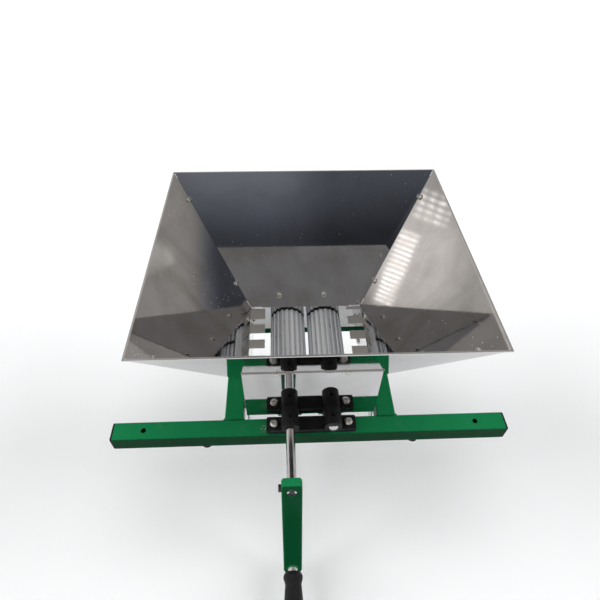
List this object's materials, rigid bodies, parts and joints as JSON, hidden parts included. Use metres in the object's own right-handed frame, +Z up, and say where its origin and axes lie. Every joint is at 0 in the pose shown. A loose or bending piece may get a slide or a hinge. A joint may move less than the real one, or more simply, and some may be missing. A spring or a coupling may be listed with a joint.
{
  "type": "grape crusher",
  "caption": "Hand cranked grape crusher: polished sheet steel hopper over toothed rollers geared together, on a green square tube frame that lies across a tub.",
  "frame": {"origin": "middle of the four holes near the crossbar ends, level with the underside of the crossbars", "axes": "+X along the crossbars, +Y from the crank to the gears, +Z up out of the hopper"},
  "size_m": [0.526, 0.5068, 0.376],
  "materials": {
    "green_paint": "gloss",
    "black_plastic": "satin",
    "black_rubber": "matte",
    "sheet_steel": "polished",
    "zinc": "zinc plated",
    "polished_steel": "polished",
    "roller_aluminium": "satin",
    "gear_steel": "machined",
    "dark_steel": "blackened"
  },
  "bodies": {
    "frame": {"front_crossbar": "green_paint", "rear_crossbar": "green_paint", "left_side_bar": "green_paint", "right_side_bar": "green_paint", "tube_end_caps": "black_plastic", "front_bearing_block": "black_plastic", "rear_bearing_block": "black_plastic", "rubber_stops": "black_rubber", "box_front_wall": "sheet_steel", "box_rear_wall": "sheet_steel", "left_side_wall": "sheet_steel", "right_side_wall": "sheet_steel", "left_comb": "sheet_steel", "right_comb": "sheet_steel", "hopper_front_panel": "sheet_steel", "hopper_rear_panel": "sheet_steel", "hopper_left_panel": "sheet_steel", "hopper_right_panel": "sheet_steel", "box_rivets": "zinc", "box_screws": "zinc", "box_spacers": "zinc", "seam_screws": "zinc", "seam_nuts": "zinc", "throat_screws": "zinc", "throat_nuts": "zinc", "block_screws": "zinc", "block_nuts": "zinc"},
    "drive": {"drive_shaft": "polished_steel", "drive_roller": "roller_aluminium", "drive_gear": "gear_steel", "drive_roller_screws": "dark_steel", "drive_gear_screw": "dark_steel", "crank_clamp_screw": "dark_steel", "crank_arm": "green_paint", "handle_spindle": "zinc"},
    "driven": {"driven_shaft": "polished_steel", "driven_roller": "roller_aluminium", "driven_gear": "gear_steel", "driven_roller_screws": "dark_steel", "driven_gear_screw": "dark_steel"},
    "grip": {"handle_grip": "black_plastic"}
  },
  "joints": [
    {"name": "crank_turn", "type": "hinge", "parent": "frame", "child": "drive", "pos_m": [-0.028, 0, 0.04], "axis": [0, 1, 0], "continuous": true},
    {"name": "driven_turn", "type": "hinge", "parent": "frame", "child": "driven", "pos_m": [0.028, 0, 0.04], "axis": [0, 1, 0], "continuous": true},
    {"name": "grip_spin", "type": "hinge", "parent": "drive", "child": "grip", "pos_m": [-0.028, -0.224, -0.12], "axis": [0, 1, 0], "continuous": true}
  ],
  "couplings": [
    {"joint": "driven_turn", "follows": "crank_turn", "ratio": -1}
  ]
}
